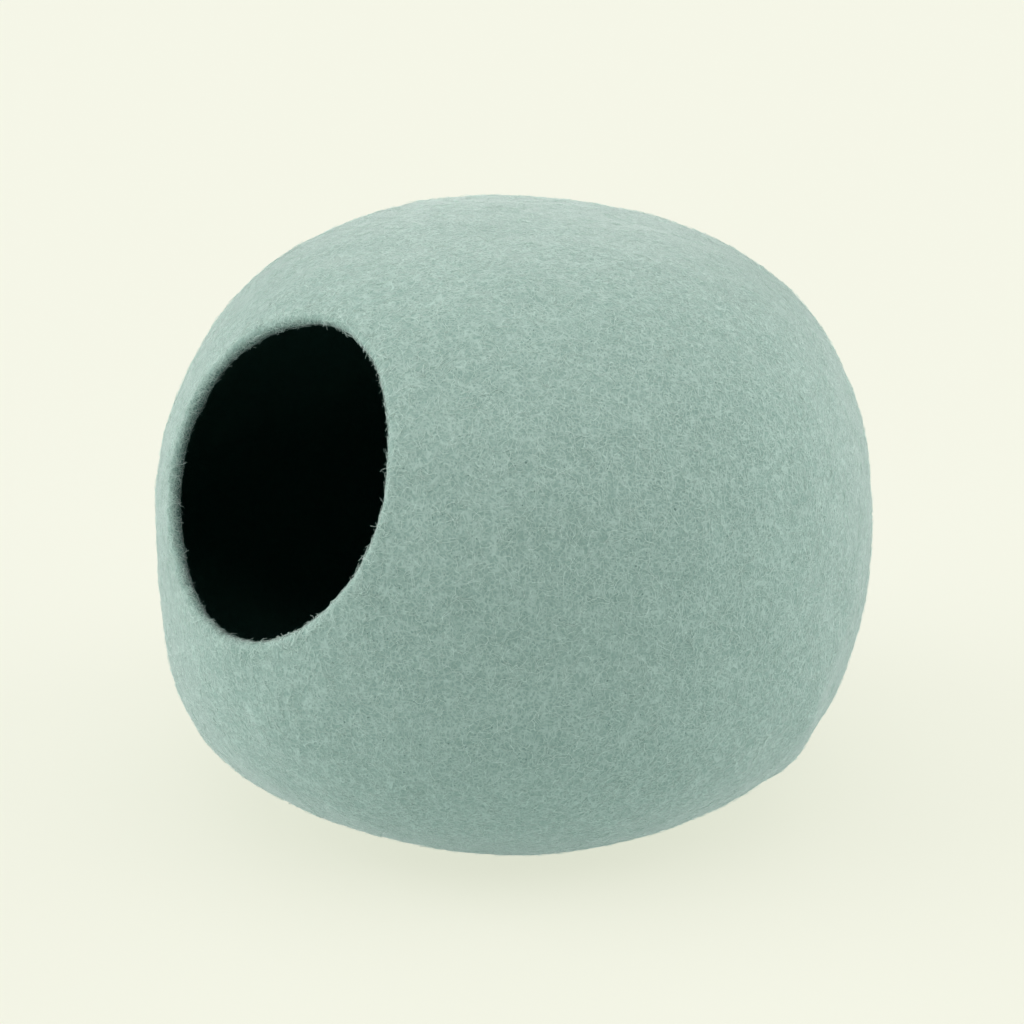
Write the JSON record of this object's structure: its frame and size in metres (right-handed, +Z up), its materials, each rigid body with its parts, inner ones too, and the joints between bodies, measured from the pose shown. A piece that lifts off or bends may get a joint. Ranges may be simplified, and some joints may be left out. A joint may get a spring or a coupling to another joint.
{
  "type": "felt cat cave",
  "caption": "Hollow, seamless ball of thick felted wool with a flat base and an oval entrance in its front, for a cat to sleep in.",
  "frame": {"origin": "under the middle of the ball, on the surface that it stands on", "axes": "+Z up; the entrance looks towards -Y and a little upwards; +X is to the right of someone who looks into the entrance"},
  "size_m": [0.452, 0.4664, 0.3632],
  "materials": {
    "felt": "matt mint green wet-felted wool outside, near-black wool inside, with loose curly fibres"
  },
  "bodies": {
    "root": {"felt_shell": "felt"}
  },
  "joints": []
}
